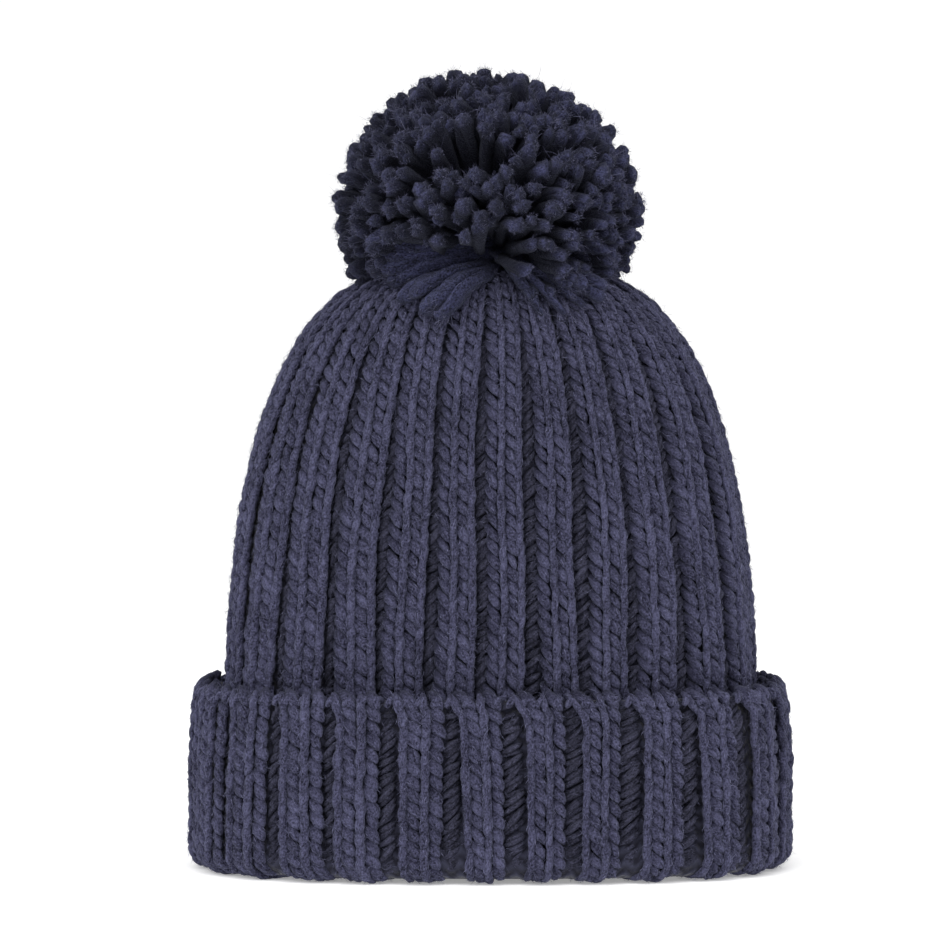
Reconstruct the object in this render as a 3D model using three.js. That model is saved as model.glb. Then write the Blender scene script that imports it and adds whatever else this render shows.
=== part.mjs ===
// A chunky ribbed beanie with a turned-up cuff and a yarn pom pom, standing on the fold of its cuff.
// Millimetres, +Z up, the front of the hat towards -Y, and the origin under its middle on the resting plane.
import * as THREE from 'three'
import { mergeVertices } from 'three/addons/utils/BufferGeometryUtils.js'

// Knitted body
const BODY_HALF_WIDTH = 105
const BODY_DEPTH_RATIO = 0.5
const BODY_SQUARENESS = 2.6
const ROUNDING_POWER = 1.5
const KNIT_THICKNESS = 6.5
const CROWN_HEIGHT = 240
const CROWN_CURVE_START = 50
const CROWN_SIDE_POWER = 2.4
const CROWN_TOP_POWER = 3.3
const DIMPLE_DEPTH = 8
const DIMPLE_RADIUS = 24
const CREST_TO_PIVOT = 2
const GATHER_HOLE_RADIUS = 9
const OUTLINE_CROWDING = 0.8

// Turned-up cuff
const CUFF_HEIGHT = 75
const CUFF_THICKNESS = 9
const CUFF_STANDOFF = 5
const CUFF_TOP_LEAN = 1.5
const LEAN_START = 0.6
const FOLD_THICKNESS = 8
const FOLD_CORNER = 5
const FOLD_BULGE = 8
const POCKET_CORNER = 3
const EDGE_RADIUS = 2.6
const EDGE_FLATNESS = 1.2
const EDGE_INSET = 0.5

// Pom, with its heights above the middle of its tie
const POM_RADIUS = 58
const POM_TOP = 75.4
const POM_WIDEST = 23.4
const POM_TOP_ROUNDING = 20
const POM_TOP_FULLNESS = 0.65
const POM_STEM_RADIUS = 4
const POM_UNDERSIDE_RISE = 0.2
const POM_RIM_INSET = 10
const SKIRT_HOLE_RADIUS = 18.7
const SKIRT_INSET = 13
const SKIRT_THICKNESS = 2.5
const SKIRT_TAPER = 0.6

// Yarns
const YARN_RADIUS = 1.7
const TIE_TURNS = 3
const TIE_HALF_HEIGHT = 2.6
const TIE_GROOVE = YARN_RADIUS * 1.5
const TIE_RIDGE = YARN_RADIUS * 2.5
const SEAM_RADIUS = 1.4
const GATHER_YARN_RADIUS = 1.4
const KNOT_RADIUS = 4.2
const TIE_KNOT_RADIUS = 2.9
const KNOT_SHAPE = new THREE.Vector3(1.15, 0.9, 0.8)
const KNOT_DROP = 4.3
const TAIL_SPREAD = 2.6
const STEM_LENGTH = 4

// Fits
const CLEARANCE = 0.8
const SEAM_CLEARANCE = 1
const RUNNING_CLEARANCE = 1.2

// Finish
const KNIT_COLOUR = 0x38384c
const POM_COLOUR = 0x232336
const YARN_ROUGHNESS = 0.95

const ROUND_STEPS = 48
const PROFILE_STEPS = 14
const SEAM_STEPS = 10
const YARN_SIDES = 8
const WELD_DISTANCE = 1e-3
const SKIRT_STEPS = 4

// Places that several pieces share
const SWAY_HEIGHT = CROWN_HEIGHT - DIMPLE_DEPTH + CREST_TO_PIVOT
const TIE_HEIGHT = SWAY_HEIGHT + STEM_LENGTH + TIE_HALF_HEIGHT
const CUFF_BEHIND = BODY_HALF_WIDTH + CUFF_STANDOFF
const CUFF_OUTSIDE = CUFF_BEHIND + CUFF_THICKNESS
const CUFF_TOP = CUFF_HEIGHT - EDGE_RADIUS * 2 - CLEARANCE
const STEM_TOP = TIE_HEIGHT - TIE_HALF_HEIGHT - CLEARANCE / 2
const TAIL_TOP = SWAY_HEIGHT - CLEARANCE

// Height of the body's outer surface above a given share of its half width
function crownHeight(share) {
  const dome = Math.pow(1 - Math.pow(share, CROWN_TOP_POWER), 1 / CROWN_SIDE_POWER)
  const fromMiddle = (share * BODY_HALF_WIDTH) / DIMPLE_RADIUS
  const dimple = DIMPLE_DEPTH * Math.exp(-fromMiddle * fromMiddle)
  return CROWN_CURVE_START + (CROWN_HEIGHT - CROWN_CURVE_START) * dome - dimple
}

// Depth of the hat's outline as a share of its width: oval at the cuff, round at the gathered top
function depthRatio(halfWidth) {
  const share = Math.min(halfWidth / BODY_HALF_WIDTH, 1)
  return BODY_DEPTH_RATIO + (1 - BODY_DEPTH_RATIO) * Math.pow(1 - share, ROUNDING_POWER)
}

// Squareness of the outline: rounded-off box at the cuff, ellipse at the gathered top
function squareness(halfWidth) {
  const share = Math.min(halfWidth / BODY_HALF_WIDTH, 1)
  return 2 + (BODY_SQUARENESS - 2) * share
}

// Turns a round ring of points into the hat's oval, keeping its half width and giving it a half depth
function ovalPoint(angle, halfWidth, halfDepth, power) {
  const c = Math.cos(angle)
  const s = Math.sin(angle)
  const reach = Math.pow(Math.pow(Math.abs(c), power) + Math.pow(Math.abs(s), power), -1 / power)
  return new THREE.Vector2(halfWidth * c * reach, halfDepth * s * reach)
}

// Lathes a closed profile of (half width, height) about Z, then squeezes every ring to the hat's oval.
// The depth of a ring comes from the body's outline there, plus how far the ring stands off it.
function ovalLathe(profile, standOffs) {
  const geometry = new THREE.LatheGeometry(profile, ROUND_STEPS)
  geometry.rotateX(Math.PI / 2)
  const position = geometry.attributes.position
  for (let i = 0; i < position.count; i += 1) {
    const onProfile = i % profile.length
    const halfWidth = profile[onProfile].x
    const standOff = standOffs[onProfile]
    const bodyWidth = halfWidth - standOff
    const halfDepth = bodyWidth * depthRatio(bodyWidth) + standOff
    const angle = Math.atan2(position.getY(i), position.getX(i))
    const point = ovalPoint(angle, halfWidth, halfDepth, squareness(bodyWidth))
    position.setXY(i, point.x, point.y)
  }
  return closed(geometry)
}

// Keeps only the positions and shares them, so that the surface is one closed body
function closed(geometry) {
  geometry.deleteAttribute('normal')
  geometry.deleteAttribute('uv')
  const merged = mergeVertices(geometry, WELD_DISTANCE)
  merged.computeVertexNormals()
  return merged
}

function piece(name, geometry, colour = KNIT_COLOUR) {
  const material = new THREE.MeshStandardMaterial({ color: colour, roughness: YARN_ROUGHNESS, metalness: 0 })
  const mesh = new THREE.Mesh(geometry, material)
  mesh.name = name
  return mesh
}

// The body's outer profile, from just above the fold up to the gathered hole
function bodyOutline() {
  const outline = [new THREE.Vector2(BODY_HALF_WIDTH, FOLD_THICKNESS + CLEARANCE)]
  const lastShare = GATHER_HOLE_RADIUS / BODY_HALF_WIDTH
  for (let i = 0; i <= PROFILE_STEPS; i += 1) {
    const turn = (i / PROFILE_STEPS) * (Math.PI / 2)
    const share = lastShare + (1 - lastShare) * Math.pow(Math.cos(turn), OUTLINE_CROWDING)
    outline.push(new THREE.Vector2(share * BODY_HALF_WIDTH, crownHeight(share)))
  }
  return outline
}

// The same profile moved inwards by a thickness, point by point along its own normal
function movedInwards(outline, thickness) {
  return outline.map((point, i) => {
    const before = outline[Math.max(i - 1, 0)]
    const after = outline[Math.min(i + 1, outline.length - 1)]
    const along = after.clone().sub(before).normalize()
    const inwards = new THREE.Vector2(-along.y, along.x)
    const moved = point.clone().addScaledVector(inwards, thickness)
    if (i === 0) moved.y = point.y
    if (i === outline.length - 1) moved.x = point.x
    return moved
  })
}

function crownKnit() {
  const outer = bodyOutline()
  const inner = movedInwards(outer, KNIT_THICKNESS)
  const sidewaysMoves = inner.map((point, i) => point.x - outer[i].x)
  const profile = [...outer, ...inner.reverse(), outer[0]]
  const standOffs = [...outer.map(() => 0), ...sidewaysMoves.reverse(), 0]
  return piece('crown_knit', ovalLathe(profile, standOffs))
}

// One cross-section of the cuff: up the outside, over its edge, down behind, and under the body as the fold
function cuffSection() {
  const inside = BODY_HALF_WIDTH - KNIT_THICKNESS
  const leanStart = CUFF_TOP * LEAN_START
  const leanMiddle = (leanStart + CUFF_TOP) / 2
  const section = new THREE.Shape()
  section.moveTo(inside + FOLD_CORNER, 0)
  section.lineTo(CUFF_OUTSIDE - FOLD_CORNER, 0)
  section.quadraticCurveTo(CUFF_OUTSIDE, 0, CUFF_OUTSIDE, FOLD_BULGE)
  section.lineTo(CUFF_OUTSIDE, leanStart)
  section.quadraticCurveTo(CUFF_OUTSIDE, leanMiddle, CUFF_OUTSIDE - CUFF_TOP_LEAN, CUFF_TOP)
  section.lineTo(CUFF_BEHIND, CUFF_TOP)
  section.lineTo(CUFF_BEHIND, FOLD_THICKNESS + POCKET_CORNER)
  section.quadraticCurveTo(CUFF_BEHIND, FOLD_THICKNESS, CUFF_BEHIND - POCKET_CORNER, FOLD_THICKNESS)
  section.lineTo(inside, FOLD_THICKNESS)
  section.lineTo(inside, FOLD_CORNER)
  section.quadraticCurveTo(inside, 0, inside + FOLD_CORNER, 0)
  return section.getPoints(4)
}

// A closed outline run round the hat at a steady stand-off from the body's base outline
function bandRound(section) {
  const points = THREE.ShapeUtils.area(section) > 0 ? section : [...section].reverse()
  const standOffs = points.map((point) => point.x - BODY_HALF_WIDTH)
  return ovalLathe(points, standOffs)
}

function turnedUpCuff() {
  return piece('turned_up_cuff', bandRound(cuffSection()))
}

function castOnEdge() {
  const middle = CUFF_BEHIND + CUFF_THICKNESS / 2 - EDGE_INSET
  const ring = new THREE.Path()
  ring.absellipse(middle, CUFF_HEIGHT - EDGE_RADIUS, EDGE_RADIUS * EDGE_FLATNESS, EDGE_RADIUS, 0, Math.PI * 2)
  return piece('cast_on_edge', bandRound(ring.getPoints(10)))
}

// A plain ring of yarn about Z
function yarnRing(radius, height, thickness) {
  const geometry = new THREE.TorusGeometry(radius, thickness, YARN_SIDES, 28)
  geometry.translate(0, 0, height)
  return closed(geometry)
}

function crownGatherYarn() {
  const radius = GATHER_HOLE_RADIUS - GATHER_YARN_RADIUS - RUNNING_CLEARANCE
  const height = crownHeight(GATHER_HOLE_RADIUS / BODY_HALF_WIDTH) - KNIT_THICKNESS / 2
  return piece('crown_gather_yarn', yarnRing(radius, height, GATHER_YARN_RADIUS))
}

// A yarn of a steady thickness along a smooth curve
function yarnAlong(points, radius, steps) {
  const path = new THREE.CatmullRomCurve3(points)
  const section = new THREE.Shape()
  section.absarc(0, 0, radius, 0, Math.PI * 2)
  const options = { extrudePath: path, steps, bevelEnabled: false, curveSegments: YARN_SIDES / 2 }
  return closed(new THREE.ExtrudeGeometry(section, options))
}

// The seam lies against the inside of the body, at the back
function backSeamYarn() {
  const outline = bodyOutline()
  const lining = movedInwards(outline, KNIT_THICKNESS + SEAM_CLEARANCE + SEAM_RADIUS)
  const route = []
  for (let i = 0; i < SEAM_STEPS; i += 1) {
    const bodyWidth = outline[i].x
    const halfDepth = bodyWidth * depthRatio(bodyWidth) + lining[i].x - bodyWidth
    route.push(new THREE.Vector3(0, halfDepth, lining[i].y))
  }
  return piece('back_seam_yarn', yarnAlong(route, SEAM_RADIUS, 40))
}

// The cuff's seam faces the body, so it is hidden between the two layers
function cuffSeamYarn() {
  const standOff = CUFF_STANDOFF - SEAM_CLEARANCE - SEAM_RADIUS
  const halfDepth = BODY_HALF_WIDTH * BODY_DEPTH_RATIO + standOff
  const low = FOLD_THICKNESS + POCKET_CORNER + SEAM_CLEARANCE
  const route = [low, (low + CUFF_TOP) / 2, CUFF_TOP].map((height) => new THREE.Vector3(0, halfDepth, height))
  return piece('cuff_seam_yarn', yarnAlong(route, SEAM_RADIUS, 8))
}

// A short straight yarn between two heights
function uprightYarn(name, side, low, high, radius) {
  const geometry = new THREE.CylinderGeometry(radius, radius, high - low, YARN_SIDES)
  geometry.rotateX(Math.PI / 2)
  geometry.translate(side * TAIL_SPREAD, 0, (low + high) / 2)
  return piece(name, closed(geometry))
}

// The knot hangs a little below the inside of the gathered top
function tailBottom() {
  return crownHeight(GATHER_HOLE_RADIUS / BODY_HALF_WIDTH) - KNIT_THICKNESS - KNOT_DROP
}

function tieStem(name, side) {
  return uprightYarn(name, side, SWAY_HEIGHT, STEM_TOP, YARN_RADIUS)
}

function anchorTail(name, side) {
  return uprightYarn(name, side, tailBottom(), TAIL_TOP, YARN_RADIUS)
}

// The turns of yarn round the waist of the pom, as one grooved collar
function pomTieYarn() {
  const inside = POM_STEM_RADIUS + RUNNING_CLEARANCE
  const groove = inside + TIE_GROOVE
  const ridge = inside + TIE_RIDGE
  const turnHeight = (TIE_HALF_HEIGHT * 2) / TIE_TURNS
  const section = new THREE.Shape()
  section.moveTo(inside, -TIE_HALF_HEIGHT)
  for (let turn = 0; turn < TIE_TURNS; turn += 1) {
    const low = -TIE_HALF_HEIGHT + turn * turnHeight
    section.lineTo(groove, low)
    section.quadraticCurveTo(ridge, low + turnHeight / 2, groove, low + turnHeight)
  }
  section.lineTo(inside, TIE_HALF_HEIGHT)
  section.closePath()
  const geometry = new THREE.LatheGeometry(section.getPoints(3), 24)
  geometry.rotateX(Math.PI / 2)
  geometry.translate(0, 0, TIE_HEIGHT)
  return piece('pom_tie_yarn', closed(geometry), POM_COLOUR)
}

function knot(name, behind, height, radius, colour) {
  const geometry = new THREE.SphereGeometry(radius, 14, 9)
  geometry.scale(KNOT_SHAPE.x, KNOT_SHAPE.y, KNOT_SHAPE.z)
  geometry.translate(0, behind, height)
  return piece(name, closed(geometry), colour)
}

function pomTieKnot() {
  const collar = POM_STEM_RADIUS + RUNNING_CLEARANCE + TIE_RIDGE
  const behind = collar + CLEARANCE + TIE_KNOT_RADIUS * KNOT_SHAPE.y
  return knot('pom_tie_knot', behind, TIE_HEIGHT, TIE_KNOT_RADIUS, POM_COLOUR)
}

function anchorKnot() {
  const height = tailBottom() - CLEARANCE - KNOT_RADIUS * KNOT_SHAPE.z
  return knot('anchor_knot', 0, height, KNOT_RADIUS, KNIT_COLOUR)
}

// The pom: a full ball above, a shallow cone below that leaves it room to lean, and the stem in the tie
function pomYarnBall() {
  const stemBottom = TIE_HEIGHT - TIE_HALF_HEIGHT
  const coneBottom = TIE_HEIGHT + TIE_HALF_HEIGHT + RUNNING_CLEARANCE
  const rimRadius = POM_RADIUS - POM_RIM_INSET
  const rim = coneBottom + (rimRadius - POM_STEM_RADIUS) * POM_UNDERSIDE_RISE
  const top = TIE_HEIGHT + POM_TOP
  const shoulder = top - POM_TOP_ROUNDING
  const profile = new THREE.Path()
  profile.moveTo(0, stemBottom)
  profile.lineTo(POM_STEM_RADIUS, stemBottom)
  profile.lineTo(POM_STEM_RADIUS, coneBottom)
  profile.lineTo(rimRadius, rim)
  profile.quadraticCurveTo(POM_RADIUS, rim, POM_RADIUS, TIE_HEIGHT + POM_WIDEST)
  profile.bezierCurveTo(POM_RADIUS, shoulder, POM_RADIUS * POM_TOP_FULLNESS, top, 0, top)
  const geometry = new THREE.LatheGeometry(profile.getPoints(7), 30)
  geometry.rotateX(Math.PI / 2)
  return piece('pom_yarn_ball', closed(geometry), POM_COLOUR)
}

// The lowest strands lie on the gathered top, round the tie
function pomSkirtStrands() {
  const outside = POM_RADIUS - SKIRT_INSET
  const under = []
  const over = []
  for (let i = 0; i <= SKIRT_STEPS; i += 1) {
    const outwards = i / SKIRT_STEPS
    const radius = SKIRT_HOLE_RADIUS + (outside - SKIRT_HOLE_RADIUS) * outwards
    const height = crownHeight(radius / BODY_HALF_WIDTH) + CLEARANCE
    const thickness = SKIRT_THICKNESS * (1 - SKIRT_TAPER * outwards ** 3)
    under.push(new THREE.Vector2(radius, height))
    over.push(new THREE.Vector2(radius, height + thickness))
  }
  const profile = [...under, ...over.reverse(), under[0]]
  return piece('pom_skirt_strands', ovalLathe(profile, profile.map(() => 0)), POM_COLOUR)
}

function beanie() {
  const hat = new THREE.Group()
  hat.add(crownKnit(), turnedUpCuff(), castOnEdge(), crownGatherYarn())
  hat.add(backSeamYarn(), cuffSeamYarn(), anchorKnot())
  hat.add(anchorTail('anchor_tail_left', -1), anchorTail('anchor_tail_right', 1))
  const pom = new THREE.Group()
  pom.add(pomTieYarn(), pomTieKnot(), pomYarnBall(), pomSkirtStrands())
  pom.add(tieStem('tie_stem_left', -1), tieStem('tie_stem_right', 1))
  const whole = new THREE.Group()
  whole.add(hat, pom)
  return whole
}

export default beanie()
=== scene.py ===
import math

import bmesh
import bpy
import numpy as np
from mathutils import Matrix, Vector


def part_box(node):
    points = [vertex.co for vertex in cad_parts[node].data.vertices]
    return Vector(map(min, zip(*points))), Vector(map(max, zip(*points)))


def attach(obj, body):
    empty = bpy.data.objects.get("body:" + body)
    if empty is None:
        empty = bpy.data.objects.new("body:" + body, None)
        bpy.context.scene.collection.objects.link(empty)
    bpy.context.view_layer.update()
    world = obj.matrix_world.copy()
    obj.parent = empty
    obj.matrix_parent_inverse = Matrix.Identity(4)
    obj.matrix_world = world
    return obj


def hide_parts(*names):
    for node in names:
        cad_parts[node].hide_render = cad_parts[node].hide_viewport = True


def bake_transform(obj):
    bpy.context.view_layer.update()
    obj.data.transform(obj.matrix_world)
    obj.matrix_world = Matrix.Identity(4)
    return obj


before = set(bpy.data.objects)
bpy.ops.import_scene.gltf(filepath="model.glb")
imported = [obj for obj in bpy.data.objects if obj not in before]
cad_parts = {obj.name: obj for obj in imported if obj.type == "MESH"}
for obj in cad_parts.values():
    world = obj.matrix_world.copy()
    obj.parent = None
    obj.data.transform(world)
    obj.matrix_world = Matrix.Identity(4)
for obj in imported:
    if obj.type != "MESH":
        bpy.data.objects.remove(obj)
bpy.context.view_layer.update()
mm = 0.001
chance = np.random.default_rng(41)

print("camera, light and floor")

view = {
    "lens": 200, "sensor": 36, "clipEnd": 50, "frameWidth": 0.3716, "aimHeight": 0.157, "aimAside": -0.0081,
    "lookDown": 3,
}
studio = {
    "skyStrength": 0.55,
    "skySeen": 1.05,  # the room looks white behind the hat
    "floorColour": (0.95, 0.95, 0.95),
    "floorRoughness": 0.9,
    "floorSize": 1.2,
    "floorGlow": 0.3,
    "sunStrength": 2.1,
    "sunAngle": 70,
    "sunTurn": (36, 0, -6),
    "lamps": [  # name, place, size, watts
        ("leftLight", (-1.4, -1.3, 0.8), 0.9, 9.0),
        ("rightLight", (1.5, -0.9, 0.7), 0.9, 5.0),
    ],
}


def added(name, data):  # a new object in the scene
    item = bpy.data.objects.new(name, data)
    bpy.context.scene.collection.objects.link(item)
    return item


def setCamera():
    data = bpy.data.cameras.new("viewCamera")
    data.lens = view["lens"]
    data.sensor_width = view["sensor"]
    data.clip_end = view["clipEnd"]
    camera = added("viewCamera", data)
    away = view["frameWidth"] * view["lens"] / view["sensor"]
    down = math.radians(view["lookDown"])
    aim = Vector((view["aimAside"], 0, view["aimHeight"]))
    camera.location = aim + Vector((0, -math.cos(down), math.sin(down))) * away
    camera.rotation_euler = (math.pi / 2 - down, 0, 0)
    bpy.context.scene.camera = camera


def plainMaterial(name, colour, roughness):
    material = bpy.data.materials.new(name)
    material.use_nodes = True
    shader = material.node_tree.nodes["Principled BSDF"]
    shader.inputs["Base Color"].default_value = (*colour, 1)
    shader.inputs["Roughness"].default_value = roughness
    return material


def setRoom():  # white to the camera, dimmer as a light
    world = bpy.data.worlds.new("softRoom")
    world.use_nodes = True
    room = world.node_tree.nodes["Background"]
    seen = world.node_tree.nodes.new("ShaderNodeLightPath")
    level = world.node_tree.nodes.new("ShaderNodeMapRange")
    level.inputs["To Min"].default_value = studio["skyStrength"]
    level.inputs["To Max"].default_value = studio["skySeen"]
    world.node_tree.links.new(seen.outputs["Is Camera Ray"], level.inputs["Value"])
    world.node_tree.links.new(level.outputs["Result"], room.inputs["Strength"])
    room.inputs["Color"].default_value = (1, 1, 1, 1)
    bpy.context.scene.world = world
    bpy.context.scene.view_settings.view_transform = "Standard"


def setFloor():
    bm = bmesh.new()
    bmesh.ops.create_grid(bm, x_segments=1, y_segments=1, size=studio["floorSize"])
    mesh = bpy.data.meshes.new("floor")
    bm.to_mesh(mesh)
    bm.free()
    pale = plainMaterial("paleFloor", studio["floorColour"], studio["floorRoughness"])
    shader = pale.node_tree.nodes["Principled BSDF"]
    shader.inputs["Emission Color"].default_value = (1, 1, 1, 1)
    shader.inputs["Emission Strength"].default_value = studio["floorGlow"]
    mesh.materials.append(pale)
    added("floor", mesh)


def setLamps():
    data = bpy.data.lights.new("topLight", "SUN")
    data.energy = studio["sunStrength"]
    data.angle = math.radians(studio["sunAngle"])
    added("topLight", data).rotation_euler = [math.radians(turn) for turn in studio["sunTurn"]]
    for name, place, size, watts in studio["lamps"]:
        data = bpy.data.lights.new(name, "AREA")
        data.size = size
        data.energy = watts
        lamp = added(name, data)
        lamp.location = place
        aim = Vector((0, 0, view["aimHeight"])) - Vector(place)
        lamp.rotation_euler = aim.to_track_quat("-Z", "Y").to_euler()


setCamera()
setRoom()
setFloor()
setLamps()

print("materials")


class Shade:  # a shader socket that sums and products can be written with
    def __init__(self, tree, socket=None):
        self.tree = tree
        self.socket = socket

    def add(self, kind, settings=None, inputs=None, output=0):  # any node: its settings, then its sockets
        node = self.tree.nodes.new(kind)
        for name, value in (settings or {}).items():
            setattr(node, name, value)
        for name, value in (inputs or {}).items():
            if isinstance(value, Shade):
                self.tree.links.new(value.socket, node.inputs[name])
            else:
                node.inputs[name].default_value = value
        return Shade(self.tree, node.outputs[output])

    def math(self, operation, first, second=0.0):
        return self.add("ShaderNodeMath", {"operation": operation}, {0: first, 1: second})

    def __add__(self, other):
        return self.math("ADD", self, other)

    def __sub__(self, other):
        return self.math("SUBTRACT", self, other)

    def __mul__(self, other):
        return self.math("MULTIPLY", self, other)

    def sine(self):
        return self.math("SINE", self)

    def clamped(self):
        return self.add("ShaderNodeClamp", inputs={"Value": self})

    def mixed(self, low, high):  # the colour this far from low to high
        settings = {"data_type": "RGBA"}
        return self.add("ShaderNodeMix", settings, {0: self, 6: (*low, 1), 7: (*high, 1)}, output=2)

    def parts(self):  # the x, y and z of a vector
        node = self.add("ShaderNodeSeparateXYZ", inputs={0: self}).socket.node
        return [Shade(self.tree, output) for output in node.outputs]

    def mark(self, name):  # a value that is stored with each vertex
        return self.add("ShaderNodeAttribute", {"attribute_name": name}, output=2)

    def yarnPlace(self):
        return self.add("ShaderNodeUVMap", {"uv_map": yarnMap})

    def objectPlace(self):
        return self.add("ShaderNodeTexCoord", output=3)

    def noise(self, where, **settings):
        return self.add("ShaderNodeTexNoise", inputs={"Vector": where, **settings})


yarnMap = "yarnMap"  # u runs along a yarn in metres, v once round it
bakeMap = "OFBake"
woolLooks = {
    "knitYarn": {"low": (0.0070, 0.0066, 0.0165), "high": (0.128, 0.129, 0.232), "plies": 3, "turns": 70,
                 "plyDepth": 0.5, "fibreDepth": 0.5, "sheen": 0.10},
    # purlYarn and pomYarn are the knit wool in darker colours: painted shade for loops in the channels and
    # strands inside the pom
    "purlYarn": {"low": (0.0065, 0.0060, 0.0130), "high": (0.098, 0.098, 0.165), "plies": 3, "turns": 90,
                 "plyDepth": 0.4, "fibreDepth": 1.4, "sheen": 0.08},
    "pomYarn": {"low": (0.0022, 0.0022, 0.0080), "high": (0.093, 0.099, 0.222), "plies": 4, "turns": 60,
                "plyDepth": 0.5, "fibreDepth": 1.6, "sheen": 0.10},
    "bindingYarn": {"low": (0.016, 0.016, 0.032), "high": (0.085, 0.087, 0.150)},
}
yarnNoise = {  # how fast each noise runs along a yarn, round it, slantwise, and from yarn to yarn
    "fibre": {"speeds": (560, 16, 330, 9), "noise": {"Detail": 4.0, "Roughness": 0.7, "Distortion": 0.6}},
    "hair": {"speeds": (420, 34, -260, 5), "noise": {"Detail": 2.0, "Distortion": 1.1}},
}
woolLevel = {  # how much each pattern adds to the colour, and what is taken off their sum
    "tone": 0.24, "fibre": 1.1, "hair": 1.1, "cloud": 0.4, "fleck": 1.8, "ply": 0.10, "less": 1.9,
}
woolRelief = {"ply": 0.35, "hair": 0.5, "fleck": 0.7, "depth": 1.0 * mm}
wool = {
    "roughness": 0.95, "shine": 0.15, "sheenRoughness": 0.5, "sheenTint": (0.6, 0.65, 0.9, 1),
    "cloudScale": 55.0, "fleckScale": 1300.0,
}
cord = {"across": 1400, "along": 2600, "grainScale": 800.0, "ply": 0.22, "grain": 1.6, "less": 0.35,
        "plyRelief": 0.6, "relief": 0.9, "depth": 0.5 * mm}
# loose fibres are lighter than the yarn: painted highlight where fine fibres catch the light; their tone also
# differs at random
looseHair = {"low": (0.045, 0.045, 0.085), "high": (0.23, 0.235, 0.38), "roughness": 0.9, "shine": 0.2}
# the inside of the knitting is coloured far darker than the wool: painted shade behind the stitches
inside = {"low": (0.008, 0.008, 0.016), "high": (0.045, 0.047, 0.08), "column": 6 * mm, "row": 5.2 * mm,
          "slant": 1.4, "rowLevel": 0.25, "columnLevel": 0.1, "grainLevel": 0.6, "grainScale": 700.0,
          "relief": 0.8, "depth": 1.2 * mm, "sheen": 0.2}


def dress(material, colour, shine, height=None, relief=1.0, depth=mm):  # the colour, and a fine relief
    tree = material.node_tree
    shader = tree.nodes["Principled BSDF"]
    tree.links.new(colour.socket, shader.inputs["Base Color"])
    if height is not None:
        bump = height.add("ShaderNodeBump", inputs={"Strength": relief, "Distance": depth, "Height": height})
        tree.links.new(bump.socket, shader.inputs["Normal"])
    shader.inputs["Specular IOR Level"].default_value = shine
    return shader


def woolMaterial(name):  # spun wool: plies that wind round the yarn, and fine fibres along them
    look = woolLooks[name]
    material = plainMaterial(name, look["high"], wool["roughness"])
    start = Shade(material.node_tree)
    along, around, _ = start.yarnPlace().parts()
    tone = start.mark("tone")
    ply = ((around * look["plies"] + along * look["turns"]) * (2 * math.pi)).sine()
    made = []
    for kind in ("fibre", "hair"):
        alongSpeed, aroundSpeed, slant, apart = yarnNoise[kind]["speeds"]
        axes = {0: along * alongSpeed, 1: around * aroundSpeed + along * slant, 2: tone * apart}
        where = start.add("ShaderNodeCombineXYZ", inputs=axes)
        made.append(start.noise(where, Scale=1.0, **yarnNoise[kind]["noise"]))
    fibre, hair = made
    cloud = start.noise(start.objectPlace(), Scale=wool["cloudScale"])
    fleck = start.noise(start.objectPlace(), Scale=wool["fleckScale"])
    share = woolLevel
    level = tone * share["tone"] + fibre * share["fibre"] + hair * share["hair"] + cloud * share["cloud"]
    level = level + fleck * share["fleck"] + ply * (share["ply"] * look["plyDepth"]) - share["less"]
    # the colour is multiplied by the painted shade stored with each vertex
    colour = (level.clamped() * start.mark("deep")).clamped().mixed(look["low"], look["high"])
    share = woolRelief
    height = ply * (share["ply"] * look["plyDepth"]) + (fibre + hair * share["hair"]) * look["fibreDepth"]
    shader = dress(material, colour, wool["shine"], height + fleck * share["fleck"], depth=share["depth"])
    shader.inputs["Sheen Weight"].default_value = look["sheen"]
    shader.inputs["Sheen Roughness"].default_value = wool["sheenRoughness"]
    shader.inputs["Sheen Tint"].default_value = wool["sheenTint"]
    return material


def cordMaterial(name, source):  # the same wool for short plain cords and knots, with no map of their own
    look = woolLooks[source]
    material = plainMaterial(name, look["high"], wool["roughness"])
    start = Shade(material.node_tree)
    x, y, z = start.objectPlace().parts()
    ply = ((x + y) * cord["across"] + z * cord["along"]).sine()
    grain = start.noise(start.objectPlace(), Scale=cord["grainScale"], Detail=3.0)
    level = ply * cord["ply"] + grain * cord["grain"] - cord["less"]
    colour = level.clamped().mixed(look["low"], look["high"])
    dress(material, colour, wool["shine"], ply * cord["plyRelief"] + grain, cord["relief"], cord["depth"])
    return material


def fuzzMaterial():  # loose single fibres
    material = plainMaterial("looseFibre", looseHair["high"], looseHair["roughness"])
    tone = Shade(material.node_tree).mark("tone")
    dress(material, tone.mixed(looseHair["low"], looseHair["high"]), looseHair["shine"])
    return material


def backingMaterial():  # the inside of the knitting: rows of loops crossing columns
    material = plainMaterial("knitInside", inside["high"], wool["roughness"])
    start = Shade(material.node_tree)
    across, up, _ = start.yarnPlace().parts()
    column = (across * (2 * math.pi / inside["column"])).sine()
    row = (up * (2 * math.pi / inside["row"]) + column * inside["slant"]).sine()
    grain = start.noise(start.objectPlace(), Scale=inside["grainScale"])
    level = row * inside["rowLevel"] + column * inside["columnLevel"] + grain * inside["grainLevel"]
    # painted shade: the inside's colours are far darker than the wool on the outside
    colour = level.clamped().mixed(inside["low"], inside["high"])
    shader = dress(material, colour, wool["shine"], level, inside["relief"], inside["depth"])
    shader.inputs["Sheen Weight"].default_value = inside["sheen"]
    return material


yarns = {name: woolMaterial(name) for name in ("knitYarn", "purlYarn", "pomYarn")}
pomCord = cordMaterial("pomCord", "pomYarn")
bindingCord = cordMaterial("bindingCord", "bindingYarn")
looseFibre = fuzzMaterial()
knitInside = backingMaterial()

print("hat surfaces")

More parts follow.
